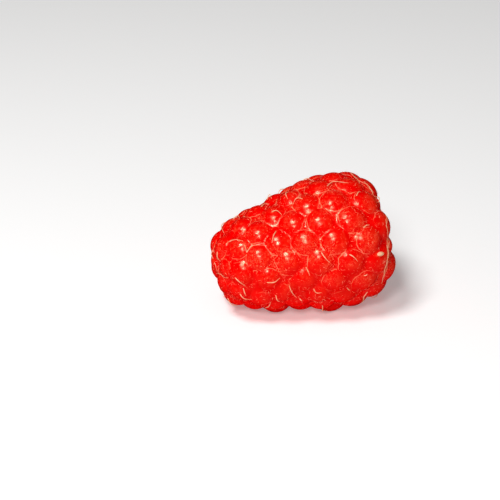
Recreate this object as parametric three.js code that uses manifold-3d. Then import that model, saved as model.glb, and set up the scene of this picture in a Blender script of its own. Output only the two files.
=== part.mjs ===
// A picked raspberry lying on its side, with the hollow that its core left open at the base.
// Millimetres, +Z up. The fruit's axis runs from the tip, at -X, to the open base, at +X.
import * as THREE from "three";
import { mergeVertices } from "three/addons/utils/BufferGeometryUtils.js";
import Module from "manifold-3d";

// Driving dimensions of the outline: distance from the tip along the axis, then radius
const outline = [
  [0, 0], [0.5, 3.4], [2.2, 5.5], [5.5, 7.0], [9.5, 7.9],
  [13.5, 9.0], [17.5, 9.5], [21.3, 9.0], [23.8, 7.4], [24.8, 5.4],
];

// How the fruit lies, in degrees and millimetres
const baseRaised = 9;
const settleReach = 0.75;
const restFlatDepth = 0.3;
const slabSide = 80;

// Drupelet rows wind from the base to the tip
const rowCount = 18;
const rowsPerStagger = 3;
const positionsPerRow = 12;
const firstRowAngle = 298.36;
const firstPosition = 1.47;
const pitchAtTip = 3.14;
const pitchGrowth = 0.28;
const rowTwist = -1.45;
const twistCentre = 20;
const twistRadius = 9.4;

// Drupelet spacing, and how it is made natural
const spacingAtTip = 3.39;
const spacingAtBase = 4.06;
const crowding = 0.76;
const tipCrowding = 0.7;
const wander = 0.35;
const wanderSeed = 477;
const relaxSteps = 12;
const relaxRate = 0.35;
const lastCandidate = 1.3;
const rimMargin = 1.5;

// Small drupelets in the gaps that are left
const leastGap = 1.7;
const gapRimMargin = 1.0;
const gapLengthStep = 0.4;
const gapTurns = 72;
const smallOnesSunk = 0.9;

// One drupelet
const halfHeight = 2.05;
const overlap = 1.24;
const drupeletDetail = 1;

// The flesh under the drupelets, reaching up into the creases between them
const creaseDepth = 0.7;
const fleshSides = 30;

// The hollow that the core left: distance from the tip, then radius
const hollow = [
  [8.2, 0], [8.6, 2.0], [10.2, 3.25], [13.5, 3.9], [18.0, 4.4], [22.5, 4.85], [26.0, 5.35],
];
const hollowSides = 24;

const skin = new THREE.MeshStandardMaterial({ color: 0xd9150f, roughness: 0.38, metalness: 0 });

const wasm = await Module();
wasm.setup();

// The outline as a fine polyline with its running length and outward normals
const samplesPerSpan = 40;

function smoothOutline(points) {
  const last = points.length - 1;
  const before = [points[1][0], -points[1][1]];
  const after = [2 * points[last][0] - points[last - 1][0], 2 * points[last][1] - points[last - 1][1]];
  const padded = [before, ...points, after];
  const curve = [];
  for (let i = 1; i < padded.length - 2; i++) {
    const [p0, p1, p2, p3] = padded.slice(i - 1, i + 3);
    for (let k = 0; k < samplesPerSpan; k++) {
      const t = k / samplesPerSpan;
      curve.push([0, 1].map((c) => 0.5 * (
        2 * p1[c] + (p2[c] - p0[c]) * t
        + (2 * p0[c] - 5 * p1[c] + 4 * p2[c] - p3[c]) * t * t
        + (3 * p1[c] - p0[c] - 3 * p2[c] + p3[c]) * t * t * t)));
    }
  }
  curve.push([...points[last]]);
  return curve;
}

const profile = smoothOutline(outline);
const lengths = [0];
for (let i = 1; i < profile.length; i++) {
  const dx = profile[i][0] - profile[i - 1][0];
  const dr = profile[i][1] - profile[i - 1][1];
  lengths.push(lengths[i - 1] + Math.hypot(dx, dr));
}
const totalLength = lengths[lengths.length - 1];
const normals = profile.map((point, i) => {
  const a = profile[Math.max(i - 1, 0)];
  const b = profile[Math.min(i + 1, profile.length - 1)];
  const size = Math.hypot(b[0] - a[0], b[1] - a[1]);
  return [-(b[1] - a[1]) / size, (b[0] - a[0]) / size];
});

// A value of the tables above at a length along the outline
function along(values, length) {
  const wanted = Math.min(Math.max(length, 0), totalLength);
  let i = 1;
  while (i < lengths.length - 1 && lengths[i] < wanted) i++;
  const t = (wanted - lengths[i - 1]) / (lengths[i] - lengths[i - 1]);
  return values[i - 1].map((value, c) => value + (values[i][c] - value) * t);
}

function pointOnSkin(length, angle) {
  const [x, r] = along(profile, length);
  return new THREE.Vector3(x, r * Math.sin(angle), r * Math.cos(angle));
}

const spacing = (length) => spacingAtTip + (spacingAtBase - spacingAtTip) * length / totalLength;

// A plain repeatable random draw from 0 to 1
let randomState = wanderSeed;
function draw() {
  randomState = (1664525 * randomState + 1013904223) % 4294967296;
  return randomState / 4294967296;
}

// Drupelets start in staggered rows that wind round the fruit
function candidateSpots() {
  const spots = [];
  for (let row = 0; row < rowCount; row++) {
    const stagger = (row / rowsPerStagger) % 1;
    for (let k = 0; k < positionsPerRow; k++) {
      const step = k + stagger;
      const length = firstPosition + pitchAtTip * step + 0.5 * pitchGrowth * step * step;
      const lengthWander = wander * (2 * draw() - 1);
      const roundWander = wander * (2 * draw() - 1);
      if (length > totalLength - lastCandidate) continue;
      const radius = along(profile, length)[1];
      const twist = rowTwist * (length - twistCentre) * twistRadius / Math.max(radius, 3);
      const degrees = firstRowAngle - row * 360 / rowCount + twist;
      spots.push({
        length: length + lengthWander,
        angle: THREE.MathUtils.degToRad(degrees) + roundWander / Math.max(radius, 1),
      });
    }
  }
  return spots.sort((a, b) => b.length - a.length);
}

// Rows that crowd each other towards the tip lose drupelets, from the base down
function thinned(spots) {
  const kept = [];
  for (const { length, angle } of spots) {
    if (length < 0.4) continue;
    const place = pointOnSkin(length, angle);
    const free = kept.every((other) =>
      place.distanceTo(other.place) > crowding * 0.5 * (spacing(length) + spacing(other.length)));
    if (free) kept.push({ length, place });
  }
  const tip = pointOnSkin(0, 0);
  if (kept.every((other) => tip.distanceTo(other.place) > tipCrowding * spacing(0))) {
    kept.push({ length: 0, place: tip });
  }
  return kept;
}

// Neighbours push each other apart along the skin until they sit evenly
function relaxed(spots) {
  for (let step = 0; step < relaxSteps; step++) {
    const pushed = spots.map((one) => {
      const place = one.place.clone();
      for (const other of spots) {
        if (other === one) continue;
        const away = one.place.clone().sub(other.place);
        const gap = away.length();
        const wanted = 0.5 * (spacing(one.length) + spacing(other.length));
        if (gap < wanted) place.addScaledVector(away, relaxRate * (wanted - gap) / gap);
      }
      return place;
    });
    spots = pushed.map((place) => {
      const radius = Math.hypot(place.y, place.z);
      let nearest = 0;
      let least = Infinity;
      profile.forEach(([x, r], i) => {
        const distance = (place.x - x) ** 2 + (radius - r) ** 2;
        if (distance < least) [nearest, least] = [i, distance];
      });
      const length = Math.min(lengths[nearest], totalLength - rimMargin);
      return { length, place: pointOnSkin(length, Math.atan2(place.y, place.z)) };
    });
  }
  return spots;
}

// The widest gap gets a small drupelet that touches its neighbours, then the next widest
function filled(spots) {
  const drupelets = spots.map((spot) => ({ ...spot, width: spacing(spot.length) }));
  for (;;) {
    let best = { width: leastGap };
    for (let length = totalLength - gapRimMargin; length > 0; length -= gapLengthStep) {
      for (let turn = 0; turn < gapTurns; turn++) {
        const place = pointOnSkin(length, 2 * Math.PI * turn / gapTurns);
        const gaps = drupelets.map((other) => 2 * place.distanceTo(other.place) - other.width);
        const width = Math.min(...gaps);
        if (width > best.width) best = { length, place, width };
      }
    }
    if (!best.place) return drupelets;
    drupelets.push(best);
  }
}

// The way down for the lying fruit, in its own frame
const tilt = THREE.MathUtils.degToRad(baseRaised);
const down = new THREE.Vector3(-Math.sin(tilt), 0, -Math.cos(tilt));

// Each drupelet's centre and outward direction, with small ones sunk a little
function placed({ length, place, width }) {
  const [nx, nr] = along(normals, length);
  const angle = Math.atan2(place.y, place.z);
  const outward = new THREE.Vector3(nx, nr * Math.sin(angle), nr * Math.cos(angle)).normalize();
  const sunk = halfHeight + smallOnesSunk * (1 - width / spacing(length));
  const halfWidth = overlap * width / 2;
  const centre = place.clone().addScaledVector(outward, -sunk);
  const cosine = outward.dot(down);
  const reach = centre.dot(down) + Math.hypot(halfHeight * cosine, halfWidth * Math.sqrt(1 - cosine ** 2));
  return { centre, outward, halfWidth, reach };
}

// The lowest drupelets give way until they bear together
function settled(drupelets) {
  const deepest = Math.max(...drupelets.map((one) => one.reach));
  for (const one of drupelets) {
    const short = deepest - one.reach;
    if (short < settleReach) one.centre.addScaledVector(down, short);
  }
  return drupelets;
}

function solidOf(geometry) {
  const bare = geometry.clone();
  bare.deleteAttribute("normal");
  bare.deleteAttribute("uv");
  const merged = mergeVertices(bare);
  return new wasm.Manifold(new wasm.Mesh({
    numProp: 3,
    vertProperties: new Float32Array(merged.attributes.position.array),
    triVerts: new Uint32Array(merged.index.array),
  }));
}

function geometryOf(solid) {
  const mesh = solid.getMesh();
  const geometry = new THREE.BufferGeometry();
  geometry.setAttribute("position", new THREE.BufferAttribute(mesh.vertProperties, 3));
  geometry.setIndex(new THREE.BufferAttribute(mesh.triVerts, 1));
  geometry.computeVertexNormals();
  return geometry;
}

// A turned solid about the fruit's axis, closed by a flat end at the profile's last point
function turned(points, sides) {
  const closed = [...points, [points[points.length - 1][0], 0]];
  const lathe = new THREE.LatheGeometry(closed.map(([x, r]) => new THREE.Vector2(r, x)), sides);
  return solidOf(lathe.rotateZ(-Math.PI / 2));
}

// A drupelet is a round lump with its top on the outline and its root sunk in the flesh
function drupeletSolid({ centre, outward, halfWidth }) {
  const lump = new THREE.IcosahedronGeometry(1, drupeletDetail);
  lump.scale(halfWidth, halfWidth, halfHeight);
  lump.applyQuaternion(new THREE.Quaternion().setFromUnitVectors(new THREE.Vector3(0, 0, 1), outward));
  return solidOf(lump.translate(centre.x, centre.y, centre.z));
}

function flesh() {
  const inner = [[creaseDepth, 0]];
  for (let i = samplesPerSpan; i < profile.length; i += samplesPerSpan) {
    const x = profile[i][0] - creaseDepth * normals[i][0];
    const r = profile[i][1] - creaseDepth * normals[i][1];
    if (x > creaseDepth) inner.push([x, r]);
  }
  return turned(inner, fleshSides);
}

function berrySolid() {
  let solid = flesh();
  const spots = filled(relaxed(thinned(candidateSpots())));
  for (const drupelet of settled(spots.map(placed))) {
    solid = solid.add(drupeletSolid(drupelet));
  }
  return solid.subtract(turned(hollow, hollowSides));
}

// The fruit lies down with its base raised, then its lowest drupelets are pressed flat
function laidDown(geometry) {
  geometry.rotateY(-tilt);
  geometry.computeBoundingBox();
  const box = geometry.boundingBox;
  const floor = box.min.z + restFlatDepth;
  const slab = new THREE.BoxGeometry(slabSide, slabSide, slabSide).translate(0, 0, floor - slabSide / 2);
  const rested = geometryOf(solidOf(geometry).subtract(solidOf(slab)));
  rested.computeBoundingBox();
  const middle = rested.boundingBox.getCenter(new THREE.Vector3());
  return rested.translate(-middle.x, -middle.y, -floor);
}

const berry = new THREE.Mesh(laidDown(geometryOf(berrySolid())), skin);
berry.name = "berry";

const raspberry = new THREE.Group();
raspberry.name = "raspberry";
raspberry.add(berry);

export default raspberry;
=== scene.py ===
# A ripe raspberry lying on its side: drupelets grown together round an open hollow,
# with dried styles and fine down. Shapes are worked out in millimetres and
# scaled to metres when a mesh is finished.
import math

import bpy
import numpy as np
from mathutils import Matrix, Vector
from mathutils.bvhtree import BVHTree


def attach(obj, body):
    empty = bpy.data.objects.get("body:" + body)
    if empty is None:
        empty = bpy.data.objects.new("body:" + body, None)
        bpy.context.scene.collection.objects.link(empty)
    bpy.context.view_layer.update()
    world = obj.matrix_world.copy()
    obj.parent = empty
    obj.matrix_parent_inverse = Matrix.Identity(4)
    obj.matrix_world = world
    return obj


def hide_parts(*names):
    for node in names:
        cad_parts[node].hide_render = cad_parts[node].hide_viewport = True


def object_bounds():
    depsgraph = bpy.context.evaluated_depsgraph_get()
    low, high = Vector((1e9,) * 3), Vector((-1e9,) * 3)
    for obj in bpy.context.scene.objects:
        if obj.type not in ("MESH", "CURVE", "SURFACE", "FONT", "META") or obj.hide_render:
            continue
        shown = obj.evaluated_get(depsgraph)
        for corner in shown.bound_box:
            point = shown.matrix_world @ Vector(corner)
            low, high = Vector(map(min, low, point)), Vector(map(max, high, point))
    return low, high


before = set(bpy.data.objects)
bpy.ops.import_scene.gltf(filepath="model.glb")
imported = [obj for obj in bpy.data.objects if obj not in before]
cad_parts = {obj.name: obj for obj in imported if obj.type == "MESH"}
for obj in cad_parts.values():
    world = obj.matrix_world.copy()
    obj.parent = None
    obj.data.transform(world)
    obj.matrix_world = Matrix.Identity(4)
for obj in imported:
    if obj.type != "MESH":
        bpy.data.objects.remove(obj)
cadLow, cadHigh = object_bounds()
millimetre = 0.001

# The fruit's outline and how its drupelets are set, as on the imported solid
fruit = {
    "outline": [  # distance from the tip, radius
        (0, 0), (0.5, 3.4), (2.2, 5.5), (5.5, 7.0), (9.5, 7.9),
        (13.5, 9.0), (17.5, 9.5), (21.3, 9.0), (23.8, 7.4), (24.8, 5.4),
    ],
    "hollow": [
        (8.2, 0), (8.6, 2.0), (10.2, 3.25), (13.5, 3.9), (18.0, 4.4), (22.5, 4.85), (26.0, 5.35),
    ],
    "outlineDetail": 40,  # points from one to the next
    "hollowDetail": 12,
    "baseRaised": 9,  # degrees
    "rowCount": 18,
    "rowsPerStagger": 3,
    "positionsPerRow": 12,
    "firstRowAngle": 298.36,
    "firstPosition": 1.47,
    "pitchAtTip": 3.14,
    "pitchGrowth": 0.28,
    "rowTwist": -1.45,
    "twistCentre": 20,
    "twistRadius": 9.4,
    "spacingAtTip": 3.39,
    "spacingAtBase": 4.06,
    "crowding": 0.76,
    "tipCrowding": 0.7,
    "wander": 0.35,
    "wanderSeed": 477,
    "relaxSteps": 12,
    "relaxRate": 0.35,
    "firstCandidate": 0.4,
    "lastCandidate": 1.3,
    "rimMargin": 1.5,
    "leastGap": 1.7,
    "gapRimMargin": 1.0,
    "gapLengthStep": 0.4,
    "gapTurns": 72,
    "smallOnesSunk": 0.9,
    "settleReach": 0.75,
    "restFlatDepth": 0.3,
    "halfHeight": 2.05,
    "overlap": 1.24,
    "creaseDepth": 0.7,
}


def curvePoint(p0, p1, p2, p3, t):
    # on a smooth curve from p1 to p2, as far along as t says
    return 0.5 * (
        2 * p1 + (p2 - p0) * t
        + (2 * p0 - 5 * p1 + 4 * p2 - p3) * t * t
        + (3 * p1 - p0 - 3 * p2 + p3) * t * t * t)


def smoothOutline(points, perSpan):
    points = [np.array(p, float) for p in points]
    before = np.array([points[1][0], -points[1][1]])
    after = 2 * points[-1] - points[-2]
    padded = [before, *points, after]
    curve = []
    for i in range(1, len(padded) - 2):
        for k in range(perSpan):
            curve.append(curvePoint(*padded[i - 1:i + 3], k / perSpan))
    curve.append(points[-1])
    return np.array(curve)


profile = smoothOutline(fruit["outline"], fruit["outlineDetail"])
lengths = np.concatenate([[0], np.cumsum(np.hypot(*np.diff(profile, axis=0).T))])
totalLength = lengths[-1]
ahead = np.concatenate([profile[1:], profile[-1:]])
behind = np.concatenate([profile[:1], profile[:-1]])
slope = ahead - behind
profileNormals = np.column_stack([-slope[:, 1], slope[:, 0]])
profileNormals /= np.linalg.norm(profileNormals, axis=1)[:, None]


def along(table, length):
    return np.array([np.interp(length, lengths, table[:, c]) for c in (0, 1)])


def pointOnSkin(length, angle):
    x, r = along(profile, length)
    return np.array([x, r * math.sin(angle), r * math.cos(angle)])


def spacing(length):
    growth = fruit["spacingAtBase"] - fruit["spacingAtTip"]
    return fruit["spacingAtTip"] + growth * length / totalLength


def draws(seed):
    state = seed
    while True:
        state = (1664525 * state + 1013904223) % 4294967296
        yield state / 4294967296


def candidateSpots():
    draw = draws(fruit["wanderSeed"])
    spots = []
    for row in range(fruit["rowCount"]):
        stagger = (row / fruit["rowsPerStagger"]) % 1
        for k in range(fruit["positionsPerRow"]):
            step = k + stagger
            length = (fruit["firstPosition"] + fruit["pitchAtTip"] * step
                      + 0.5 * fruit["pitchGrowth"] * step * step)
            lengthWander = fruit["wander"] * (2 * next(draw) - 1)
            roundWander = fruit["wander"] * (2 * next(draw) - 1)
            if length > totalLength - fruit["lastCandidate"]:
                continue
            radius = along(profile, length)[1]
            twist = (fruit["rowTwist"] * (length - fruit["twistCentre"])
                     * fruit["twistRadius"] / max(radius, 3))
            degrees = fruit["firstRowAngle"] - row * 360 / fruit["rowCount"] + twist
            angle = math.radians(degrees) + roundWander / max(radius, 1)
            spots.append((length + lengthWander, angle))
    return sorted(spots, key=lambda spot: -spot[0])


def thinned(spots):
    kept = []
    for length, angle in spots:
        if length < fruit["firstCandidate"]:
            continue
        place = pointOnSkin(length, angle)
        if all(np.linalg.norm(place - other)
               > fruit["crowding"] * 0.5 * (spacing(length) + spacing(otherLength))
               for otherLength, other in kept):
            kept.append((length, place))
    tip = pointOnSkin(0, 0)
    if all(np.linalg.norm(tip - other) > fruit["tipCrowding"] * spacing(0) for _, other in kept):
        kept.append((0, tip))
    return kept


def relaxed(spots):
    where = np.array([length for length, _ in spots], float)
    places = np.array([place for _, place in spots])
    for _ in range(fruit["relaxSteps"]):
        size = spacing(where)
        away = places[:, None] - places[None]
        gap = np.linalg.norm(away, axis=2)
        np.fill_diagonal(gap, 1e9)
        crowded = np.maximum(0.5 * (size[:, None] + size[None]) - gap, 0)
        push = (away / gap[..., None] * crowded[..., None]).sum(axis=1)
        places = places + fruit["relaxRate"] * push
        radius = np.hypot(places[:, 1], places[:, 2])
        angle = np.arctan2(places[:, 1], places[:, 2])
        nearest = ((places[:, :1] - profile[:, 0]) ** 2
                   + (radius[:, None] - profile[:, 1]) ** 2).argmin(axis=1)
        where = np.minimum(lengths[nearest], totalLength - fruit["rimMargin"])
        x, r = along(profile, where)
        places = np.column_stack([x, r * np.sin(angle), r * np.cos(angle)])
    return where, places


def filled(where, places):
    widths = spacing(where)
    gridLengths = np.arange(totalLength - fruit["gapRimMargin"], 0, -fruit["gapLengthStep"])
    gridAngles = 2 * math.pi * np.arange(fruit["gapTurns"]) / fruit["gapTurns"]
    gridWhere = np.repeat(gridLengths, len(gridAngles))
    x, r = along(profile, gridWhere)
    turn = np.tile(gridAngles, len(gridLengths))
    grid = np.column_stack([x, r * np.sin(turn), r * np.cos(turn)])
    while True:
        gaps = (2 * np.linalg.norm(grid[:, None] - places[None], axis=2) - widths).min(axis=1)
        best = int(gaps.argmax())
        if gaps[best] <= fruit["leastGap"]:
            return where, places, widths
        where = np.append(where, gridWhere[best])
        places = np.vstack([places, grid[best]])
        widths = np.append(widths, gaps[best])


tilt = math.radians(fruit["baseRaised"])
layDown = np.array([
    [math.cos(tilt), 0, -math.sin(tilt)],
    [0, 1, 0],
    [math.sin(tilt), 0, math.cos(tilt)],
])
downwards = layDown.T @ np.array([0, 0, -1.0])


def drupeletTable():
    where, places, widths = filled(*relaxed(thinned(candidateSpots())))
    normalX, normalR = along(profileNormals, where)
    angle = np.arctan2(places[:, 1], places[:, 2])
    outward = np.column_stack([normalX, normalR * np.sin(angle), normalR * np.cos(angle)])
    outward /= np.linalg.norm(outward, axis=1)[:, None]
    sunk = fruit["halfHeight"] + fruit["smallOnesSunk"] * (1 - widths / spacing(where))
    centres = places - outward * sunk[:, None]
    halfWidths = fruit["overlap"] * widths / 2
    cosine = outward @ downwards
    reach = centres @ downwards + np.hypot(fruit["halfHeight"] * cosine,
                                           halfWidths * np.sqrt(1 - cosine ** 2))
    short = reach.max() - reach
    lowered = np.where(short < fruit["settleReach"], short, 0)
    centres = centres + lowered[:, None] * downwards
    return centres, outward, halfWidths, reach.max() - fruit["restFlatDepth"]


centres, outward, halfWidths, floorDepth = drupeletTable()

# The lying fruit's place: its lowest flats on the floor, its box in the middle of the solid's box
cadMiddle = (np.array(cadLow) + np.array(cadHigh)) / 2 / millimetre
centres = centres @ layDown.T
outward = outward @ layDown.T
spread = np.sqrt(halfWidths[:, None] ** 2 * (1 - outward ** 2) + (fruit["halfHeight"] * outward) ** 2)
boxMiddle = ((centres - spread).min(axis=0) + (centres + spread).max(axis=0)) / 2
place = np.array([cadMiddle[0] - boxMiddle[0], cadMiddle[1] - boxMiddle[1], floorDepth])
centres = centres + place
print("drupelets:", len(centres), "tip of the axis at", place.round(3), "mm")


def fruitFrame(points):
    return (points - place) @ layDown


def turnedMesh(name, loop, sides):
    # a closed loop of (distance, radius) points, both ends on the axis, turned about the fruit's axis
    rings = [(x, r) for x, r in loop if r > 0]
    vertices = [(loop[0][0], 0, 0), (loop[-1][0], 0, 0)]
    for x, r in rings:
        for k in range(sides):
            turn = 2 * math.pi * k / sides
            vertices.append((x, r * math.sin(turn), r * math.cos(turn)))
    faces = []
    for ring in range(len(rings) - 1):
        for k in range(sides):
            a = 2 + ring * sides + k
            b = 2 + ring * sides + (k + 1) % sides
            faces.append((a, b, b + sides, a + sides))
    lastRing = 2 + (len(rings) - 1) * sides
    for k in range(sides):
        faces.append((0, 2 + (k + 1) % sides, 2 + k))
        faces.append((1, lastRing + k, lastRing + (k + 1) % sides))
    mesh = bpy.data.meshes.new(name)
    mesh.from_pydata(np.array(vertices) @ layDown.T + place, [], faces)
    mesh.update()
    return mesh


def smoothMax(a, b, blend):
    # the larger of two distances, rounded over the blend's width
    mix = np.maximum(blend - np.abs(a - b), 0) / blend
    return np.maximum(a, b) + mix * mix * blend * 0.25


def smoothMin(a, b, blend):
    return -smoothMax(-a, -b, blend)


# How the finer skin is rounded where its surfaces meet, in millimetres
surface = {
    "voxel": 0.18,
    "lumpDivisions": 3,
    "fleshSides": 72,
    "fleshEnd": 22.6,  # from the tip
    "fleshSteps": (10, 4),  # every tenth point outside, every fourth in the hollow
    "creaseRound": 0.14,
    "fleshRound": 0.3,
    "rimRound": 0.35,
    "floorRound": 0.12,
    "innerEnd": 1.2,  # the drupelet's inner end, below its middle
    "hollowBump": 0.42,
    "hollowBumpLength": 1.7,
    "hollowBumpWidth": 1.0,
    "hollowBumpFade": 1.2,  # in bump widths squared
    "hollowBumpLimit": 1.6,
    "hollowReach": 1.5,
    "neighbours": 9,
    "projectSteps": 5,
    "projectMost": 0.2,
    "slopeStep": 0.02,
    "evenSteps": 8,
    "evenShare": 0.6,
    "tableStep": 0.05,  # the tables of distances to the turned outlines
    "tableLow": -3.0,
    "tableShape": (680, 320),
}

hollowProfile = smoothOutline(fruit["hollow"], fruit["hollowDetail"])
hollowSlope = np.gradient(hollowProfile, axis=0)
hollowNormals = np.column_stack([-hollowSlope[:, 1], hollowSlope[:, 0]])
hollowNormals /= np.linalg.norm(hollowNormals, axis=1)[:, None]

innerEnds = fruitFrame(centres - outward * surface["innerEnd"])
innerAngles = np.arctan2(innerEnds[:, 1], innerEnds[:, 2])


def distanceTable(curve, normals):
    # the signed distance to a turned outline, on a fine grid of distance and radius
    columns, lines = surface["tableShape"]
    x = surface["tableLow"] + surface["tableStep"] * np.arange(columns)
    r = surface["tableStep"] * np.arange(lines)
    table = np.empty((columns, lines))
    for row in range(columns):
        nearest = ((x[row] - curve[:, 0]) ** 2 + (r[:, None] - curve[:, 1]) ** 2).argmin(axis=1)
        table[row] = ((x[row] - curve[nearest, 0]) * normals[nearest, 0]
                      + (r - curve[nearest, 1]) * normals[nearest, 1])
    return table


def profileDistance(x, r, table):
    # read from the table, straight between its points
    column = np.clip((x - surface["tableLow"]) / surface["tableStep"], 0, table.shape[0] - 2.001)
    line = np.clip(r / surface["tableStep"], 0, table.shape[1] - 2.001)
    i, j = column.astype(int), line.astype(int)
    u, v = column - i, line - j
    return ((table[i, j] * (1 - u) + table[i + 1, j] * u) * (1 - v)
            + (table[i, j + 1] * (1 - u) + table[i + 1, j + 1] * u) * v)


outlineTable = distanceTable(profile, profileNormals)
hollowTable = distanceTable(hollowProfile, hollowNormals)


def hollowBumps(x, r, angle):
    # inner ends of the drupelets, which stand into the hollow a little
    acrossX = (x[:, None] - innerEnds[:, 0]) / surface["hollowBumpLength"]
    turn = (angle[:, None] - innerAngles + math.pi) % (2 * math.pi) - math.pi
    acrossR = turn * np.maximum(r, 1.0)[:, None] / surface["hollowBumpWidth"]
    nearest = np.sort(acrossX ** 2 + acrossR ** 2, axis=1)[:, :2]
    depth = np.minimum(nearest[:, 0], surface["hollowBumpLimit"]) / surface["hollowBumpFade"]
    bump = surface["hollowBump"] * (1 - depth)
    bump = bump * np.minimum(r / surface["hollowBumpWidth"], 1)  # none at the hollow's very end
    return bump, np.sqrt(nearest[:, 1]) - np.sqrt(nearest[:, 0])


def drupeletDistances(points, near):
    offset = points[:, None] - centres[near]
    rise = (offset * outward[near]).sum(axis=2)
    aside = np.maximum((offset ** 2).sum(axis=2) - rise ** 2, 0)
    width = halfWidths[near]
    height = fruit["halfHeight"]
    k0 = np.sqrt(aside / width ** 2 + rise ** 2 / height ** 2)
    k1 = np.sqrt(aside / width ** 4 + rise ** 2 / height ** 4)
    return k0 * (k0 - 1) / np.maximum(k1, 1e-6), rise


def skinDistance(points, near, full=False):
    # the distance to the finished surface, or in full what the paint and the hairs go by
    distances, rise = drupeletDistances(points, near)
    blend = surface["creaseRound"] / 3
    least = distances.min(axis=1)
    united = least - blend * np.log(np.exp(-(distances - least[:, None]) / blend).sum(axis=1))
    inFruit = fruitFrame(points)
    x = inFruit[:, 0]
    r = np.hypot(inFruit[:, 1], inFruit[:, 2])
    angle = np.arctan2(inFruit[:, 1], inFruit[:, 2])
    flesh = profileDistance(x, r, outlineTable) + fruit["creaseDepth"]
    outer = smoothMin(united, flesh, surface["fleshRound"])
    hollow = profileDistance(x, r, hollowTable)
    close = np.abs(hollow) < surface["hollowReach"]
    bumpCrease = np.full(len(x), 9.0)
    bump, bumpCrease[close] = hollowBumps(x[close], r[close], angle[close])
    hollow[close] += bump
    shell = smoothMax(outer, -hollow, surface["rimRound"])
    whole = smoothMax(shell, -points[:, 2], surface["floorRound"])
    if not full:
        return whole
    ordered = np.sort(distances, axis=1)
    return {
        "gap": ordered[:, 1] - ordered[:, 0],
        "pit": ordered[:, 0] - flesh,
        "owner": near[np.arange(len(points)), distances.argmin(axis=1)],
        "inside": -hollow - outer,
        "bumpCrease": bumpCrease,
        "rise": rise[np.arange(len(points)), distances.argmin(axis=1)],
    }


def nearestDrupelets(points):
    # in blocks, to save memory
    near = []
    for block in np.array_split(points, 1 + len(points) // 20000):
        distance = ((block[:, None] - centres[None]) ** 2).sum(axis=2)
        near.append(np.argsort(distance, axis=1)[:, :surface["neighbours"]])
    return np.vstack(near)


probe = np.array([(1, 1, 1), (1, -1, -1), (-1, 1, -1), (-1, -1, 1)], float)


def slopeAt(points, near):
    # the direction in which the distance grows
    total = sum(corner * skinDistance(points + corner * surface["slopeStep"], near)[:, None]
                for corner in probe)
    return total / np.maximum(np.linalg.norm(total, axis=1), 1e-9)[:, None]


def evened(points, mesh):
    # slides the points towards the middle of their neighbours, so that stretched faces even out
    pairs = np.empty(len(mesh.edges) * 2, np.int32)
    mesh.edges.foreach_get("vertices", pairs)
    first, second = pairs.reshape(-1, 2).T
    ends, others = np.concatenate([first, second]), np.concatenate([second, first])
    count = np.bincount(ends, minlength=len(points))[:, None]
    for _ in range(surface["evenSteps"]):
        sums = [np.bincount(ends, points[others, c], len(points)) for c in range(3)]
        points = points + surface["evenShare"] * (np.column_stack(sums) / count - points)
    return points


def settleOnSkin(points, near):
    for _ in range(surface["projectSteps"]):
        most = surface["projectMost"]
        height = np.clip(skinDistance(points, near), -most, most)
        points = points - slopeAt(points, near) * height[:, None]
    return points


def meshPoints(mesh):
    flat = np.empty(len(mesh.vertices) * 3, np.float32)
    mesh.vertices.foreach_get("co", flat)
    return flat.reshape(-1, 3).astype(float)


def setAttribute(mesh, name, values):
    layer = mesh.attributes.new(name, "FLOAT", "POINT")
    layer.data.foreach_set("value", np.asarray(values, np.float32))


def newObject(name, mesh):
    made = bpy.data.objects.new(name, mesh)
    bpy.context.scene.collection.objects.link(made)
    return made


def newTree(name, *inputs):
    # a tree with the named inputs that gives geometry
    tree = bpy.data.node_groups.new(name, "GeometryNodeTree")
    for label, kind, *value in inputs:
        socket = tree.interface.new_socket(label, in_out="INPUT", socket_type="NodeSocket" + kind)
        if value:
            socket.default_value = value[0]
    tree.interface.new_socket("Geometry", in_out="OUTPUT", socket_type="NodeSocketGeometry")
    return tree, tree.nodes.new("NodeGroupInput"), tree.nodes.new("NodeGroupOutput")


def namedAttribute(tree, name, kind="FLOAT"):
    made = tree.nodes.new("GeometryNodeInputNamedAttribute")
    made.data_type = kind
    made.inputs["Name"].default_value = name
    return made


def wire(tree, *rows):
    # each row is a node and its output, then a node and its input
    for source, output, target, entry in rows:
        tree.links.new(source.outputs[output], target.inputs[entry])


def finishTree(tree, given, result, node, output):
    # the result realized and painted with the tree's material
    realize = tree.nodes.new("GeometryNodeRealizeInstances")
    paint = tree.nodes.new("GeometryNodeSetMaterial")
    wire(tree,
         (node, output, realize, "Geometry"),
         (realize, "Geometry", paint, "Geometry"),
         (given, "Material", paint, "Material"),
         (paint, "Geometry", result, "Geometry"))


def setInput(modifier, name, value):
    for item in modifier.node_group.interface.items_tree:
        if item.item_type == "SOCKET" and item.in_out == "INPUT" and item.name == name:
            modifier[item.identifier] = value
            return
    raise KeyError(name)


def bakedMesh(made, name):
    # the object with its modifiers as one plain mesh, the modifiers then removed
    bpy.context.view_layer.update()
    graph = bpy.context.evaluated_depsgraph_get()
    mesh = bpy.data.meshes.new_from_object(made.evaluated_get(graph))
    mesh.name = name
    made.modifiers.clear()
    return mesh


def fleshMesh():
    # the flesh under the drupelets, a cup round the hollow
    outerStep, innerStep = surface["fleshSteps"]
    inset = profile[::outerStep] - fruit["creaseDepth"] * profileNormals[::outerStep]
    end = surface["fleshEnd"]
    outerSide = [(x, r) for x, r in inset if fruit["creaseDepth"] < x < end]
    innerSide = [(x, r) for x, r in hollowProfile[::innerStep] if x < end and r > 0][::-1]
    loop = [(fruit["creaseDepth"], 0), *outerSide, *innerSide, (fruit["hollow"][0][0], 0)]
    return turnedMesh("flesh", loop, surface["fleshSides"])


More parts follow.
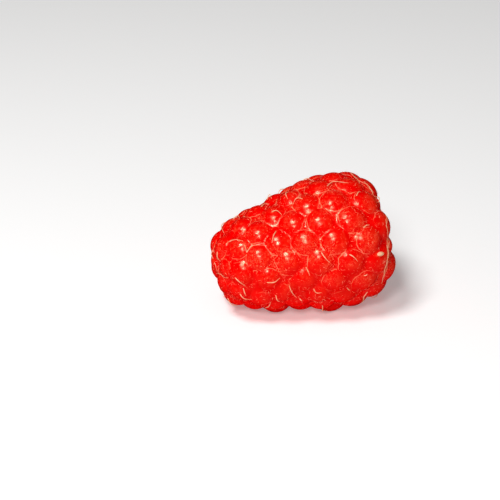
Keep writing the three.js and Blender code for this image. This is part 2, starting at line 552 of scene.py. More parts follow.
def drupeletPoints():
    # one vertex for each drupelet, carrying its direction and size
    mesh = bpy.data.meshes.new("drupelet_points")
    mesh.from_pydata(centres, [], [])
    layer = mesh.attributes.new("outward", "FLOAT_VECTOR", "POINT")
    layer.data.foreach_set("vector", outward.astype(np.float32).ravel())
    setAttribute(mesh, "halfWidth", halfWidths)
    return newObject("drupelet_points", mesh)


def drupeletTree():
    # instances a round lump on every point, turned outwards and sized by the point
    tree, given, result = newTree(
        "drupelets", ("Flesh", "Geometry"), ("Points", "Object"), ("Half Height", "Float", 2.0),
        ("Subdivisions", "Int", 4), ("Material", "Material"))
    nodes = tree.nodes
    fetch = nodes.new("GeometryNodeObjectInfo")
    lump = nodes.new("GeometryNodeMeshIcoSphere")
    direction = namedAttribute(tree, "outward", "FLOAT_VECTOR")
    width = namedAttribute(tree, "halfWidth")
    align = nodes.new("FunctionNodeAlignRotationToVector")
    align.axis = "Z"
    size = nodes.new("ShaderNodeCombineXYZ")
    spread = nodes.new("GeometryNodeInstanceOnPoints")
    realize = nodes.new("GeometryNodeRealizeInstances")
    join = nodes.new("GeometryNodeJoinGeometry")
    paint = nodes.new("GeometryNodeSetMaterial")
    wire(tree,
         (given, "Points", fetch, "Object"),
         (fetch, "Geometry", spread, "Points"),
         (given, "Subdivisions", lump, "Subdivisions"),
         (lump, "Mesh", spread, "Instance"),
         (direction, "Attribute", align, "Vector"),
         (align, "Rotation", spread, "Rotation"),
         (width, "Attribute", size, "X"),
         (width, "Attribute", size, "Y"),
         (given, "Half Height", size, "Z"),
         (size, "Vector", spread, "Scale"),
         (spread, "Instances", realize, "Geometry"),
         (given, "Flesh", join, "Geometry"),
         (realize, "Geometry", join, "Geometry"),
         (join, "Geometry", paint, "Geometry"),
         (given, "Material", paint, "Material"),
         (paint, "Geometry", result, "Geometry"))
    return tree


def skinMesh():
    # flesh and drupelets joined by the tree, remeshed, then settled on the exact rounded surface
    flesh = newObject("berry_flesh", fleshMesh())
    points = drupeletPoints()
    modifier = flesh.modifiers.new("drupelets", "NODES")
    modifier.node_group = drupeletTree()
    setInput(modifier, "Points", points)
    setInput(modifier, "Half Height", fruit["halfHeight"])
    setInput(modifier, "Subdivisions", surface["lumpDivisions"])
    remesh = flesh.modifiers.new("remesh", "REMESH")
    remesh.mode = "VOXEL"
    remesh.voxel_size = surface["voxel"]
    remesh.adaptivity = 0
    mesh = bakedMesh(flesh, "berry_skin")
    bpy.data.objects.remove(flesh)
    bpy.data.objects.remove(points)
    settled = meshPoints(mesh)
    near = nearestDrupelets(settled)
    settled = settleOnSkin(settled, near)
    settled = settleOnSkin(evened(settled, mesh), near)
    mesh.vertices.foreach_set("co", settled.astype(np.float32).ravel())
    mesh.update()
    return mesh, settled


skinShape, skinPoints = skinMesh()
print("skin:", len(skinShape.vertices), "points")

# Where the camera stands, and where the photograph shows the fruit's outline, in its 500 pixels
photo = {
    "azimuth": -14,  # degrees, 0 looks along +Y
    "elevation": 27,
    "lens": 120,
    "sensor": 36,
    "pixels": 500,
    "pixelsPerMillimetre": 7.21,
    "outlineMiddle": (303.0, 242.0),
}

azimuth = math.radians(photo["azimuth"])
elevation = math.radians(photo["elevation"])
towardsCamera = np.array([
    math.sin(azimuth) * math.cos(elevation),
    -math.cos(azimuth) * math.cos(elevation),
    math.sin(elevation),
])
toTheRight = np.array([math.cos(azimuth), math.sin(azimuth), 0.0])
upwards = np.cross(towardsCamera, toTheRight)
focal = photo["lens"] / photo["sensor"] * photo["pixels"]


def toPixels(points, eye):
    offset = points - eye
    depth = -(offset @ towardsCamera)
    half = photo["pixels"] / 2
    return np.column_stack([
        half + focal * (offset @ toTheRight) / depth,
        half - focal * (offset @ upwards) / depth,
    ])


def cameraPlace():
    # the camera slides in its own plane until the outline's box is where the photograph has it
    middle = (skinPoints.min(axis=0) + skinPoints.max(axis=0)) / 2
    eye = middle + towardsCamera * focal / photo["pixelsPerMillimetre"]
    for _ in range(4):
        seen = toPixels(skinPoints, eye)
        offset = (seen.min(axis=0) + seen.max(axis=0)) / 2 - np.array(photo["outlineMiddle"])
        eye = eye + (toTheRight * offset[0] - upwards * offset[1]) / photo["pixelsPerMillimetre"]
    return eye


eye = cameraPlace()
seenPoints = toPixels(skinPoints, eye)
print("outline in the picture:", seenPoints.min(axis=0).round(1), seenPoints.max(axis=0).round(1))


def makeCamera():
    made = bpy.data.objects.new("camera", bpy.data.cameras.new("camera"))
    made.data.lens = photo["lens"]
    made.data.sensor_width = photo["sensor"]
    made.data.clip_start = 0.005
    made.data.clip_end = 10
    made.location = Vector(eye * millimetre)
    made.rotation_mode = "QUATERNION"
    made.rotation_quaternion = Vector(-towardsCamera).to_track_quat("-Z", "Y")
    bpy.context.scene.collection.objects.link(made)
    bpy.context.scene.camera = made


makeCamera()


# Skin colours and finish
skinLook = {
    "top": (0.84, 0.001, 0.0),
    "side": (0.86, 0.0, 0.0),
    # a slightly lighter red between the drupelets, painted fill light where shade falls
    "crease": (0.88, 0.0, 0.0),
    # a painted glow, as of light through the drupelets, on the side of each crown away from the tip
    "paintedGlow": (0.94, 0.016, 0.004),
    # the pale orange of the painted glow flecks over the crowns
    "flesh": (1.0, 0.090, 0.032),
    # the pale down line round the drupelets' feet, partly painted sheen
    "line": (1.0, 0.25, 0.13),
    "scribble": (1.0, 0.13, 0.058),
    "speck": (1.0, 0.22, 0.10),
    "hollow": (0.90, 0.016, 0.008),
    "hollowBump": (1.0, 0.13, 0.07),
    # a darker red between the inner bumps in the hollow, painted shade
    "hollowCreaseShade": (0.55, 0.0, 0.0),
    "roughness": 0.185,
    "specular": 0.45,
    "specularTint": (1.0, 0.95, 0.62),
    "subsurface": 0.55,
    "subsurfaceScale": 0.0015,
    "subsurfaceRadius": (1.0, 0.12, 0.06),
    "glossSpread": (-0.07, 0.10),  # of the roughness
    "hollowRoughness": 0.35,  # added in the hollow
    "hollowEdge": (-0.35, 0.25),  # millimetres into the hollow
    "liningCreases": (0.0, 0.30),
    "liningBumps": (0.45, 1.1, 0.0, 0.4),
    "bumpStrength": 0.7,
    "dimples": 0.00005,  # metres
    "grain": 0.000018,
    "creaseFade": (-0.5, 0.0),  # millimetres from the flesh between the drupelets
    "toneShare": 0.5,
    # heights on a drupelet in millimetres above its middle
    "topRises": (1.25, 2.05),
    "glowRises": (1.45, 2.05),
    "ringRise": 1.36,
    "ringWobble": 0.15,
    "ringWidth": 0.036,
    "ringCore": 0.3,  # share of the width
    "lowPart": (0.0030, 0.0105),  # metres above the floor
    "lowShare": 0.06,
    # patterns: size in metres, then the part of the noise that shows, and its share
    "cloud": (0.0016, (0.3, 0.7, -0.35, 0.35)),
    "glowFlecks": (0.00042, (0.47, 0.66)),
    "fleckShare": 0.34,
    "arcs": (0.0030, (0.39, 0.52)),
    "wobble": (0.0014, (0.25, 0.75)),
    "patches": (0.0030, (0.46, 0.66)),
    "scribbles": ((0.0006, 0.020), (0.0009, 0.012)),  # size, width of the line
    "specks": (0.00028, (0.66, 0.74)),
    "speckShare": 0.7,
    "towardsTip": (-0.35, 0.15),  # how far a point lies to the tip's side of its drupelet
    "awayFromTip": (0.30, -0.35),
    "tipDirection": (-0.85, 0.0, 0.5),
    "toneSeed": 11,
    "glossSize": 0.0004,
    "dimpleSize": 0.00075,
    "grainSize": 0.00022,
}


def newMaterial(name):
    material = bpy.data.materials.new(name)
    material.use_nodes = True
    tree = material.node_tree
    return material, tree, tree.nodes["Principled BSDF"]


def objectPlace(tree):
    return tree.nodes.new("ShaderNodeTexCoord").outputs["Object"]


def attributeNode(tree, name):
    made = tree.nodes.new("ShaderNodeAttribute")
    made.attribute_name = name
    return made.outputs["Fac"]


def feed(tree, socket, value):
    # a number or a colour is set on the socket, an output is linked to it
    if isinstance(value, tuple):
        socket.default_value = (*value, 1)
    elif isinstance(value, (int, float)):
        socket.default_value = value
    else:
        tree.links.new(value, socket)


def mapRange(tree, value, fromLow, fromHigh, toLow=0.0, toHigh=1.0, smooth=True):
    made = tree.nodes.new("ShaderNodeMapRange")
    made.interpolation_type = "SMOOTHSTEP" if smooth else "LINEAR"
    ends = (("From Min", fromLow), ("From Max", fromHigh), ("To Min", toLow), ("To Max", toHigh))
    for name, end in (("Value", value), *ends):
        feed(tree, made.inputs[name], end)
    return made.outputs["Result"]


def combine(tree, operation, a, b=0.0):
    made = tree.nodes.new("ShaderNodeMath")
    made.operation = operation
    feed(tree, made.inputs[0], a)
    feed(tree, made.inputs[1], b)
    return made.outputs["Value"]


def multiply(tree, first, *others):
    for other in others:
        first = combine(tree, "MULTIPLY", first, other)
    return first


def mixColour(tree, factor, a, b):
    made = tree.nodes.new("ShaderNodeMix")
    made.data_type = "RGBA"
    colourA, colourB = [s for s in made.inputs if s.type == "RGBA"]
    for socket, value in ((made.inputs["Factor"], factor), (colourA, a), (colourB, b)):
        feed(tree, socket, value)
    return [s for s in made.outputs if s.type == "RGBA"][0]


def noise(tree, place, size, detail=2.0, roughness=0.5):
    # size is the pattern's grain in metres
    made = tree.nodes.new("ShaderNodeTexNoise")
    feed(tree, made.inputs["Vector"], place)
    feed(tree, made.inputs["Scale"], 1 / size)
    feed(tree, made.inputs["Detail"], detail)
    feed(tree, made.inputs["Roughness"], roughness)
    return made.outputs["Fac"]


def pattern(tree, place, name, detail=2.0, roughness=0.5):
    # one of the skin's patterns, by its name
    size, shown = skinLook[name]
    return mapRange(tree, noise(tree, place, size, detail, roughness), *shown)


def scribbles(tree, place, size, width):
    # thin wandering lines, as lying hairs leave them: where a noise crosses its middle
    value = noise(tree, place, size, 2.0, 0.6)
    away = combine(tree, "ABSOLUTE", combine(tree, "SUBTRACT", value, 0.5))
    return mapRange(tree, away, width, 0.0)


def bumped(tree, height, distance, strength, normal=None):
    made = tree.nodes.new("ShaderNodeBump")
    made.inputs["Strength"].default_value = strength
    made.inputs["Distance"].default_value = distance
    tree.links.new(height, made.inputs["Height"])
    if normal is not None:
        tree.links.new(normal, made.inputs["Normal"])
    return made.outputs["Normal"]


def skinColour(tree, place):
    rise = attributeNode(tree, "rise")
    tipSide = attributeNode(tree, "tipSide")

    # the low part, near the floor, has less grain, fewer lines and flecks and less of the painted glow:
    # a flatter, deeper red there, painted shade
    split = tree.nodes.new("ShaderNodeSeparateXYZ")
    tree.links.new(place, split.inputs["Vector"])
    upper = mapRange(tree, split.outputs["Z"], *skinLook["lowPart"], skinLook["lowShare"], 1.0)

    # each drupelet is much the same red on top as at its sides and between, with a random tone over the
    # crown; on the crown's side away from the tip a painted glow, as of light through the drupelet;
    # between the drupelets a slightly lighter red, painted fill light where shade falls
    cloud = pattern(tree, place, "cloud")
    top = mapRange(tree, combine(tree, "ADD", rise, cloud), *skinLook["topRises"])
    colour = mixColour(tree, top, skinLook["side"], skinLook["top"])
    shade = multiply(tree, attributeNode(tree, "tone"), skinLook["toneShare"])
    colour = mixColour(tree, multiply(tree, shade, top), colour, skinLook["side"])
    lit = mapRange(tree, tipSide, *skinLook["awayFromTip"])
    colour = mixColour(tree, multiply(tree, top, lit, upper), colour, skinLook["paintedGlow"])
    # painted fill light: a slightly lighter red between the drupelets, where shade falls
    paintedCreaseLight = mapRange(tree, attributeNode(tree, "pit"), *skinLook["creaseFade"])
    colour = mixColour(tree, paintedCreaseLight, colour, skinLook["crease"])

    # painted glow, as of light through the drupelet, in pale grainy flecks and clouds over the crown
    glowFlecks = pattern(tree, place, "glowFlecks", 2.0, 0.65)
    crown = combine(tree, "ADD", rise, multiply(tree, cloud, 1.3))
    crown = mapRange(tree, crown, *skinLook["glowRises"])
    share = multiply(tree, glowFlecks, crown, upper, skinLook["fleckShare"])
    colour = mixColour(tree, share, colour, skinLook["flesh"])

    # a pale line of down round each drupelet's foot, broken in arcs and kept to the side towards the
    # tip where the light falls: the down's own colour, and painted sheen where light catches it
    arcs = multiply(tree, pattern(tree, place, "arcs"),
                    mapRange(tree, tipSide, *skinLook["towardsTip"]))
    size, shown = skinLook["wobble"]
    reach = skinLook["ringWobble"]
    wobble = mapRange(tree, noise(tree, place, size), *shown, -reach, reach, smooth=False)
    height = combine(tree, "ADD", rise, wobble)
    away = combine(tree, "ABSOLUTE", combine(tree, "SUBTRACT", height, skinLook["ringRise"]))
    ring = mapRange(tree, away, skinLook["ringWidth"], skinLook["ringWidth"] * skinLook["ringCore"])
    colour = mixColour(tree, multiply(tree, ring, arcs, upper), colour, skinLook["line"])

    # lying hairs and specks in patches
    patches = pattern(tree, place, "patches", 1.0)
    lines = combine(tree, "MAXIMUM", *[scribbles(tree, place, *line) for line in skinLook["scribbles"]])
    colour = mixColour(tree, multiply(tree, lines, patches, upper), colour, skinLook["scribble"])
    specks = multiply(tree, pattern(tree, place, "specks", 2.0, 0.6), upper, skinLook["speckShare"])
    return mixColour(tree, specks, colour, skinLook["speck"])


def skinMaterial():
    material, tree, shader = newMaterial("berry_skin")
    place = objectPlace(tree)
    inside = attributeNode(tree, "inside")
    between = attributeNode(tree, "bumpCrease")
    # in the hollow: a darker red between the drupelets' inner bumps, painted shade, and paler over the
    # bumps
    liningShade = mapRange(tree, between, *skinLook["liningCreases"])
    bumps = mapRange(tree, between, *skinLook["liningBumps"])
    lining = mixColour(tree, liningShade, skinLook["hollowCreaseShade"], skinLook["hollow"])
    lining = mixColour(tree, bumps, lining, skinLook["hollowBump"])
    cavity = mapRange(tree, inside, *skinLook["hollowEdge"])
    ends = [skinLook["roughness"] + share for share in skinLook["glossSpread"]]
    gloss = mapRange(tree, noise(tree, place, skinLook["glossSize"]), 0.3, 0.7, *ends)
    gloss = combine(tree, "ADD", gloss, multiply(tree, cavity, skinLook["hollowRoughness"]))
    dimples = noise(tree, place, skinLook["dimpleSize"], 2.0, 0.55)
    grain = noise(tree, place, skinLook["grainSize"], 2.0, 0.6)
    normal = bumped(tree, dimples, skinLook["dimples"], skinLook["bumpStrength"])
    normal = bumped(tree, grain, skinLook["grain"], skinLook["bumpStrength"], normal)
    for name, value in (
            ("Base Color", mixColour(tree, cavity, skinColour(tree, place), lining)),
            ("Roughness", gloss),
            ("Normal", normal),
            ("Specular IOR Level", skinLook["specular"]),
            ("Specular Tint", skinLook["specularTint"]),
            ("Subsurface Weight", skinLook["subsurface"]),
            ("Subsurface Scale", skinLook["subsurfaceScale"])):
        feed(tree, shader.inputs[name], value)
    shader.inputs["Subsurface Radius"].default_value = skinLook["subsurfaceRadius"]
    return material


def finishedSkin():
    tones = np.random.default_rng(skinLook["toneSeed"]).random(len(centres))
    owner = skinFacts["owner"]
    towardsTip = layDown @ np.array(skinLook["tipDirection"])
    for name in ("rise", "pit", "inside", "bumpCrease"):
        setAttribute(skinShape, name, skinFacts[name])
    setAttribute(skinShape, "tipSide", ((skinPoints - centres[owner]) @ towardsTip) / halfWidths[owner])
    setAttribute(skinShape, "tone", tones[owner])
    skinShape.materials.clear()
    skinShape.materials.append(skinMaterial())
    skinShape.transform(Matrix.Scale(millimetre, 4))
    skinShape.shade_smooth()
    made = newObject("berry_skin", skinShape)
    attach(made, "root")
    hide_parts("berry")


# Dried styles, those seen in the photograph by their pixels and the rest by rule
styles = {
    "seen": {
        "tipEdge": [(225.5, 221.5), (222.9, 227), (224.3, 233.6)],
        "tipTop": [(233, 219), (238, 217.5), (240, 219.5)],
        "upperEdge": [(261, 206.6), (269, 204.3)],
        "goldenLoop": [(267, 199.7), (270.6, 195.7), (271.7, 199)],
        "goldenArc": [(271.7, 211.8), (276.9, 211.8), (282, 215.2)],
        "upperDash": [(276, 231), (272, 243)],
        "topHair": [(350.8, 173), (355, 183.8), (355, 188.8)],
        "topArc": [(327, 186), (331.4, 183.4), (339.5, 183.1), (348.3, 183.1)],
        "topHook": [(356.4, 195.6), (360.8, 191.9)],
        "rightDash": [(363.3, 227.5), (369.5, 225)],
        "forkLeft": [(244.4, 244.8), (246.4, 252.2)],
        "forkRight": [(246.4, 252.2), (252.2, 247.3), (257.1, 245.3)],
        "leftEdge": [(213, 250.5), (213.4, 259)],
        "leftSecond": [(217.2, 252), (220.6, 261.4)],
        "lowerLeft": [(235, 277.8), (240.7, 281), (245, 285.5)],
        "lowerArc": [(267, 282.6), (274, 281.2), (279.7, 277.8)],
        "bottomFork": [(240, 294), (244, 297), (252, 299.3)],
        "bottomBranch": [(243.3, 288.4), (245.9, 295.9)],
        "bottomLeft": [(227.5, 298), (232, 302.2), (237.8, 307)],
        "middleCurl": [(289.2, 285.5), (290.6, 291.3), (297, 298)],
        "middleTail": [(275.7, 295.3), (279.7, 301.6)],
        "bottomThread": [(265.4, 308), (270.6, 301.6)],
        "centreDash": [(292.4, 250.5), (294.7, 255)],
        "centreArc": [(321.4, 252.5), (324.5, 258), (329.5, 262.5)],
        "rightArc": [(349.5, 254.4), (353.3, 257), (357.6, 261.3)],
        "lowerDash": [(306, 267), (309.5, 275.6)],
        "lowerHook": [(313.6, 288.8), (316.4, 292), (321.4, 292.5)],
        "lowerRight": [(367.6, 292), (363.3, 296.3), (362.3, 301.3), (362.6, 305.6)],
        "bottomRight": [(322.6, 305.6), (322.6, 311), (327, 315)],
        "bottomDot": [(299.8, 298.7), (302, 300.4)],
        "lowRightDot": [(347, 288), (349.5, 290.3)],
        "lowRightDash": [(364.5, 275.6), (367, 273.8)],
    },
    "fine": {  # fuzz along an edge, laid as many short hairs
        "shoulder": [(358, 181), (366, 184.4), (371, 190), (374, 196)],
        "rightEdge": [(366, 184), (372, 190.5), (377, 201), (383.5, 211), (386, 219), (387.3, 229),
                      (388.5, 246), (387, 260), (384.5, 277)],
        "rightInner": [(388, 240), (387, 262), (382, 283)],
        "tipArc": [(226, 244), (233, 240.5), (242, 241), (249, 243.5)],
        "tipLow": [(214, 262), (218, 272), (226, 278.5)],
    },
    "fineLength": 14,  # pixels
    "fineShortest": 0.5,  # share of the length
    "fineApart": 6,
    "fineStray": 1.2,
    "finePoints": 4,
    "fineDetail": 20,
    "fineRadius": 0.032,  # millimetres
    "fineSteepest": 0.77,
    "stub": [(376.6, 254.7), (379.5, 254.1), (382.6, 253.4)],  # a short flattened stub
    "stubRadius": 0.30,
    "stubHeight": 0.27,
    "stubEnds": 0.15,  # share of its radius
    "radius": 0.066,
    "tipShare": 0.25,
    "rootDepth": 0.05,
    "lowest": 0.6,  # radii over the skin
    "lift": 0.28,
    "steepest": 0.35,  # of depth from one point to the next
    "points": 12,
    "sides": 6,
    "holdSteps": 6,
    "holdReach": 0.3,
    "smoothings": 3,
    # threads placed by rule, in millimetres
    "share": 0.55,
    "shortest": 1.2,
    "longest": 3.2,
    "fromTop": 0.5,
    "sidewaysFrom": (1.0, 0.3, 0.2),
    "rootTurn": 2.4,
    "bend": 2.4,
    "clear": 2.6,  # from a thread that is seen
    "floorClear": 1.5,
    "seed": 21,
    # paint, its patterns in metres
    "base": (0.82, 0.34, 0.15),
    "pale": (0.98, 0.56, 0.34),
    "mottleSize": 0.0006,
    "fibreSize": 0.00012,
    "fibreDepth": 0.00002,
    "fibreStrength": 0.4,
    "roughness": 0.55,
    "subsurface": 0.2,
    "subsurfaceScale": 0.0002,
}

skinTree = BVHTree.FromPolygons(
    [Vector(point) for point in skinPoints], [tuple(face.vertices) for face in skinShape.polygons])


def bentPath(corners, count):
    # a smooth path through the corners
    corners = np.array(corners, float)
    padded = np.vstack([2 * corners[0] - corners[1], corners, 2 * corners[-1] - corners[-2]])
    spans = len(corners) - 1
    path = []
    for t in np.linspace(0, spans, count):
        i = min(int(t), spans - 1)
        path.append(curvePoint(*padded[i:i + 4], t - i))
    return np.array(path)


def heldOff(points, height):
    # the points at a height above the skin
    near = nearestDrupelets(points)
    reach = styles["holdReach"]
    for _ in range(styles["holdSteps"]):
        short = height - skinDistance(points, near)
        points = points + slopeAt(points, near) * np.clip(short, -reach, reach)[:, None]
        near = nearestDrupelets(points)
    return points


def finePieces():
    # the fine paths cut into short hairs that overlap and stray a little
    random = np.random.default_rng(styles["seed"] + 1)
    length, count = styles["fineLength"], styles["finePoints"]
    pieces = []
    for corners in styles["fine"].values():
        path = bentPath(corners, styles["fineDetail"] * len(corners))
        run = np.concatenate([[0], np.cumsum(np.hypot(*np.diff(path, axis=0).T))])
        for start in np.arange(0, run[-1] - length / 2, styles["fineApart"]):
            reach = start + length * np.linspace(0, random.uniform(styles["fineShortest"], 1), count)
            piece = np.column_stack([np.interp(reach, run, column) for column in path.T])
            pieces.append(piece + random.uniform(-1, 1, (count, 2)) * styles["fineStray"])
    return pieces


def seenThreads(paths, wholeOnly=False):
    # paths of pixels laid on the skin, as the camera sees them
    half = photo["pixels"] / 2
    threads = []
    for corners in paths:
        rays, depths = [], []
        for x, y in bentPath(corners, styles["points"]):
            ray = (toTheRight * (x - half) - upwards * (y - half)) / focal - towardsCamera
            ray /= np.linalg.norm(ray)
            hit = skinTree.ray_cast(Vector(eye), Vector(ray))
            rays.append(ray)
            depths.append(np.nan if hit[0] is None else hit[3])
        depths = np.array(depths)
        known = np.flatnonzero(~np.isnan(depths))
        if len(known) == 0 or (wholeOnly and len(known) < len(depths)):
            continue
        depths = np.interp(np.arange(len(depths)), known, depths[known])
        if wholeOnly and np.abs(np.diff(depths)).max() > styles["fineSteepest"]:
            continue
        for i in range(1, len(depths)):
            step = np.clip(depths[i] - depths[i - 1], -styles["steepest"], styles["steepest"])
            depths[i] = depths[i - 1] + step
        threads.append(eye + np.array(rays) * depths[:, None])
    return threads


def ruledThreads(taken):
    # one thread on many of the other drupelets, from near its top and bending along the skin
    random = np.random.default_rng(styles["seed"])
    tops = centres + outward * fruit["halfHeight"]
    threads = []
    for top, normal in zip(tops, outward):
        wanted, turn, bend, size = random.random(4)
        tooClose = min(np.linalg.norm(taken - top, axis=1)) < styles["clear"]
        if wanted > styles["share"] or tooClose or top[2] < styles["floorClear"]:
            continue
        side = np.cross(normal, styles["sidewaysFrom"])
        side /= np.linalg.norm(side)
        other = np.cross(normal, side)
        angle = 2 * math.pi * turn
        length = styles["shortest"] + (styles["longest"] - styles["shortest"]) * size
        step = length / (styles["points"] - 1)
        around = styles["rootTurn"] * angle
        point = top + styles["fromTop"] * (side * math.cos(around) + other * math.sin(around))
        path = [point]
        for _ in range(styles["points"] - 1):
            angle += (bend - 0.5) * styles["bend"] * step
            point = point + step * (side * math.cos(angle) + other * math.sin(angle))
            path.append(point)
        threads.append(np.array(path))
    return threads


def styleTree():
    # sweeps a small round section along every thread
    tree, given, result = newTree(
        "style_threads", ("Geometry", "Geometry"), ("Thickness", "Float", 0.1),
        ("Sides", "Int", 6), ("Material", "Material"))
    nodes = tree.nodes
    curves = nodes.new("GeometryNodeMeshToCurve")
    taper = namedAttribute(tree, "taper")
    circle = nodes.new("GeometryNodeCurvePrimitiveCircle")
    sweep = nodes.new("GeometryNodeCurveToMesh")
    sweep.inputs["Fill Caps"].default_value = True
    smooth = nodes.new("GeometryNodeSetShadeSmooth")
    wire(tree,
         (given, "Geometry", curves, "Mesh"),
         (curves, "Curve", sweep, "Curve"),
         (taper, "Attribute", sweep, "Scale"),
         (given, "Thickness", circle, "Radius"),
         (given, "Sides", circle, "Resolution"),
         (circle, "Curve", sweep, "Profile Curve"),
         (sweep, "Mesh", smooth, "Geometry"))
    finishTree(tree, given, result, smooth, "Geometry")
    return tree


def styleMaterial():
    material, tree, shader = newMaterial("dried_style")
    place = objectPlace(tree)
    mottle = mapRange(tree, noise(tree, place, styles["mottleSize"]), 0.3, 0.7)
    fibres = noise(tree, place, styles["fibreSize"])
    for name, value in (
            ("Base Color", mixColour(tree, mottle, styles["base"], styles["pale"])),
            ("Normal", bumped(tree, fibres, styles["fibreDepth"], styles["fibreStrength"])),
            ("Roughness", styles["roughness"]),
            ("Subsurface Weight", styles["subsurface"]),
            ("Subsurface Scale", styles["subsurfaceScale"])):
        feed(tree, shader.inputs[name], value)
    return material


def threadGroups():
    # the threads, then how high they lie and how thick they are from root to tip
    count = styles["points"]
    onward = np.linspace(0, 1, count)
    bow = np.sin(math.pi * onward).clip(0)
    height = styles["radius"] * styles["lowest"] + styles["lift"] * bow ** 2
    height[0] = -styles["rootDepth"]
    taper = 1 - (1 - styles["tipShare"]) * onward ** 2
    fineTaper = taper * styles["fineRadius"] / styles["radius"]
    stubTaper = styles["stubEnds"] + (1 - styles["stubEnds"]) * np.sqrt(bow)
    stubTaper *= styles["stubRadius"] / styles["radius"]
    seen = seenThreads(styles["seen"].values())
    print("threads seen in the photograph:", len(seen))
    fine = seenThreads(finePieces(), wholeOnly=True)
    return (
        (seen + ruledThreads(np.vstack(seen)), height, taper),
        (fine, np.full(count, styles["fineRadius"]), fineTaper),
        (seenThreads([styles["stub"]]), np.full(count, styles["stubHeight"]), stubTaper))


def finishedStyles():
    threads, heights, tapers = [], [], []
    for group, height, taper in threadGroups():
        threads += group
        heights += [height] * len(group)
        tapers += [taper] * len(group)
    count = styles["points"]
    bends = heldOff(np.vstack(threads), np.concatenate(heights)).reshape(len(threads), count, 3)
    for _ in range(styles["smoothings"]):
        bends[:, 1:-1] = (bends[:, :-2] + 2 * bends[:, 1:-1] + bends[:, 2:]) / 4
    edges = [(n * count + i, n * count + i + 1) for n in range(len(threads)) for i in range(count - 1)]
    mesh = bpy.data.meshes.new("style_paths")
    mesh.from_pydata(bends.reshape(-1, 3), edges, [])
    setAttribute(mesh, "taper", np.concatenate(tapers))
    made = newObject("styles", mesh)
    modifier = made.modifiers.new("threads", "NODES")
    modifier.node_group = styleTree()
    setInput(modifier, "Thickness", styles["radius"])
    setInput(modifier, "Sides", styles["sides"])
    setInput(modifier, "Material", styleMaterial())
    made.data = bakedMesh(made, "styles")
    made.data.transform(Matrix.Scale(millimetre, 4))
    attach(made, "root")
    print("styles:", len(threads), "threads,", len(made.data.polygons), "faces")


finishedStyles()
skinFacts = skinDistance(skinPoints, nearestDrupelets(skinPoints), full=True)


# Fine pale hairs, thick at the rim and in the hollow, thin elsewhere
hairs = {
    "length": 0.5,  # millimetres
    "shortest": 0.45,  # share of the length
    "thickness": 0.034,
    "bend": ((0.0, -0.04), (0.09, 0.52), (0.34, 0.96)),  # sideways and up, for a length of 1
    "middleShare": 0.75,
    "perSquareMillimetre": 12.0,
    "onTops": 0.10,
    "inCreases": 0.03,  # added to that
    "creaseReach": 0.45,
    "inHollow": 0.35,
    "hollowFade": 0.4,
    "atRim": 0.6,
    "rimReach": 0.5,
    "leastTilt": 35,  # degrees from the skin's normal
    "mostTilt": 82,
    "floorClear": 0.9,  # millimetres
    "floorFade": 3.0,
    "seed": 5,
    "colour": (1.0, 0.46, 0.27),
    "mottleSize": 0.002,  # metres
    "roughness": 0.5,
}


def hairMesh():
    # one bent three-sided spike of unit length, its root a little under the skin
    half = hairs["thickness"] / hairs["length"] / 2
    root, middle, tip = hairs["bend"]
    vertices = []
    for (aside, rise), reach in ((root, half), (middle, half * hairs["middleShare"])):
        for k in range(3):
            turn = 2 * math.pi * k / 3
            vertices.append((aside + reach * math.cos(turn), reach * math.sin(turn), rise))
    vertices.append((tip[0], 0.0, tip[1]))
    faces = [(k, (k + 1) % 3, 3 + (k + 1) % 3, 3 + k) for k in range(3)]
    faces += [(3 + k, 3 + (k + 1) % 3, 6) for k in range(3)]
    faces.append((2, 1, 0))
    mesh = bpy.data.meshes.new("hair")
    mesh.from_pydata(vertices, [], faces)
    mesh.update()
    return mesh


def hairDensity():
    # how thickly the hairs stand, from 0 to 1, on every point of the skin
    crease = np.exp(-(skinFacts["gap"] / hairs["creaseReach"]) ** 2)
    density = hairs["onTops"] + hairs["inCreases"] * crease
    inHollow = np.clip(skinFacts["inside"] / hairs["hollowFade"] + 0.5, 0, 1)
    density = density * (1 - inHollow) + hairs["inHollow"] * inHollow
    atRim = np.exp(-(skinFacts["inside"] / hairs["rimReach"]) ** 2)
    density = np.maximum(density, hairs["atRim"] * atRim)
    clear = np.clip((skinPoints[:, 2] - hairs["floorClear"]) / hairs["floorFade"], 0, 1)
    return density * clear


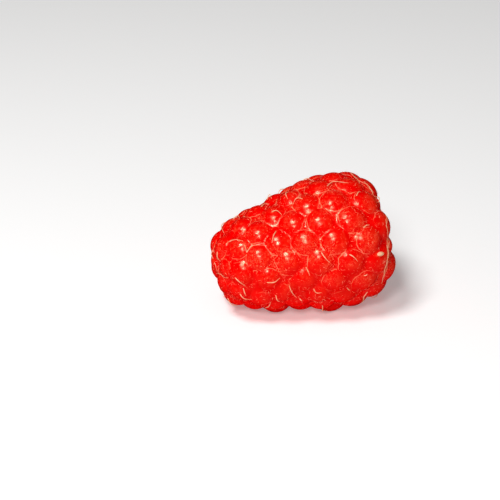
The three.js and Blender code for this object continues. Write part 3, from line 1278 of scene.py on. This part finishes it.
def hairTree():
    # spreads hairs over the skin by its density, each turned and tilted at random
    tree, given, result = newTree(
        "down_hairs", ("Geometry", "Geometry"), ("Hair", "Object"), ("Density", "Float", 10.0),
        ("Length", "Float", 1.0), ("Shortest", "Float", 0.5), ("Least Tilt", "Float", 0.5),
        ("Most Tilt", "Float", 1.4), ("Seed", "Int", 1), ("Material", "Material"))
    nodes = tree.nodes
    share = namedAttribute(tree, "hairDensity")
    density = nodes.new("ShaderNodeMath")
    size = nodes.new("ShaderNodeMath")
    density.operation = size.operation = "MULTIPLY"
    scatter = nodes.new("GeometryNodeDistributePointsOnFaces")
    scatter.distribute_method = "RANDOM"
    fetch = nodes.new("GeometryNodeObjectInfo")
    tiltValue, spinValue, sizeValue = [nodes.new("FunctionNodeRandomValue") for _ in range(3)]
    spinValue.inputs["Max"].default_value = 2 * math.pi
    sizeValue.inputs["Max"].default_value = 1.0
    angles = nodes.new("ShaderNodeCombineXYZ")
    turned = nodes.new("FunctionNodeEulerToRotation")
    rotate = nodes.new("FunctionNodeRotateRotation")
    rotate.rotation_space = "LOCAL"
    spread = nodes.new("GeometryNodeInstanceOnPoints")
    for value, seed, target, entry in ((tiltValue, 3, angles, "X"), (spinValue, 4, angles, "Z"),
                                       (sizeValue, 5, size, 0)):
        value.inputs["Seed"].default_value = seed
        tree.links.new(floatOutput(value), target.inputs[entry])
    wire(tree,
         (given, "Geometry", scatter, "Mesh"),
         (share, "Attribute", density, 0),
         (given, "Density", density, 1),
         (density, "Value", scatter, "Density"),
         (given, "Seed", scatter, "Seed"),
         (given, "Least Tilt", tiltValue, "Min"),
         (given, "Most Tilt", tiltValue, "Max"),
         (given, "Shortest", sizeValue, "Min"),
         (angles, "Vector", turned, "Euler"),
         (scatter, "Rotation", rotate, "Rotation"),
         (turned, "Rotation", rotate, "Rotate By"),
         (given, "Length", size, 1),
         (given, "Hair", fetch, "Object"),
         (scatter, "Points", spread, "Points"),
         (fetch, "Geometry", spread, "Instance"),
         (rotate, "Rotation", spread, "Rotation"),
         (size, "Value", spread, "Scale"))
    finishTree(tree, given, result, spread, "Instances")
    return tree


def floatOutput(node):
    return [socket for socket in node.outputs if socket.type == "VALUE" and socket.enabled][0]


def hairMaterial():
    material, tree, shader = newMaterial("pale_down")
    mottle = noise(tree, objectPlace(tree), hairs["mottleSize"], 1.0)
    colour = mixColour(
        tree, mapRange(tree, mottle, 0.35, 0.65, 0.0, 0.5), hairs["colour"], skinLook["speck"])
    feed(tree, shader.inputs["Base Color"], colour)
    feed(tree, shader.inputs["Roughness"], hairs["roughness"])
    return material


def finishedDown():
    hair = newObject("hair", hairMesh())
    mesh = skinShape.copy()
    setAttribute(mesh, "hairDensity", hairDensity())
    made = newObject("down", mesh)
    modifier = made.modifiers.new("hairs", "NODES")
    modifier.node_group = hairTree()
    for name, value in (
            ("Hair", hair), ("Density", hairs["perSquareMillimetre"]), ("Length", hairs["length"]),
            ("Shortest", hairs["shortest"]), ("Least Tilt", math.radians(hairs["leastTilt"])),
            ("Most Tilt", math.radians(hairs["mostTilt"])), ("Seed", hairs["seed"]),
            ("Material", hairMaterial())):
        setInput(modifier, name, value)
    made.data = bakedMesh(made, "down")
    bpy.data.objects.remove(hair)
    made.data.transform(Matrix.Scale(millimetre, 4))
    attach(made, "root")
    print("down:", len(made.data.polygons) // 7, "hairs")


finishedDown()
finishedSkin()
print("skin finished")


# The pale floor and soft studio light
studio = {
    "floor": (0.88, 0.875, 0.87),
    "floorReach": 3.0,  # metres
    "floorRoughness": 0.7,
    "floorGlow": 0.26,  # lifts the paper towards white
    "world": (1.0, 0.99, 0.98),
    "worldStrength": 0.08,
    # direction to the right, up and towards the camera, distance, size, power, seen in the gloss
    "lights": {
        "key": ((-0.33, 0.60, 0.73), 0.35, 0.11, 0.84, True),
        "lamp": ((-0.18, 0.20, 0.96), 0.35, 0.07, 0.42, True),
        "fill": ((0.15, 0.75, 0.6), 0.6, 0.9, 0.35, False),
    },
}


def areaLight(name, direction, distance, size, power, inGloss):
    right, up, back = direction
    way = toTheRight * right + upwards * up + towardsCamera * back
    way /= np.linalg.norm(way)
    made = bpy.data.objects.new(name, bpy.data.lights.new(name, "AREA"))
    made.data.shape = "DISK"
    made.data.size = size
    made.data.energy = power
    made.visible_glossy = inGloss
    made.location = Vector(skinPoints.mean(axis=0) * millimetre + way * distance)
    made.rotation_mode = "QUATERNION"
    made.rotation_quaternion = Vector(-way).to_track_quat("-Z", "Y")
    bpy.context.scene.collection.objects.link(made)


def makeFloor():
    reach = studio["floorReach"]
    corners = [(-reach, -reach, 0), (reach, -reach, 0), (reach, reach, 0), (-reach, reach, 0)]
    mesh = bpy.data.meshes.new("floor")
    mesh.from_pydata(corners, [], [(0, 1, 2, 3)])
    material, tree, shader = newMaterial("floor_paper")
    feed(tree, shader.inputs["Base Color"], studio["floor"])
    feed(tree, shader.inputs["Emission Color"], studio["floor"])
    feed(tree, shader.inputs["Emission Strength"], studio["floorGlow"])
    feed(tree, shader.inputs["Roughness"], studio["floorRoughness"])
    mesh.materials.append(material)
    floor = newObject("floor", mesh)
    floor.visible_glossy = False


def makeStudio():
    makeFloor()
    world = bpy.data.worlds.new("studio")
    world.use_nodes = True
    background = world.node_tree.nodes["Background"]
    background.inputs["Color"].default_value = (*studio["world"], 1)
    background.inputs["Strength"].default_value = studio["worldStrength"]
    bpy.context.scene.world = world
    world.cycles_visibility.glossy = False
    for name, values in studio["lights"].items():
        areaLight(name, *values)
    bpy.context.scene.view_settings.view_transform = "Standard"


makeStudio()
print("studio made")

bpy.context.view_layer.update()
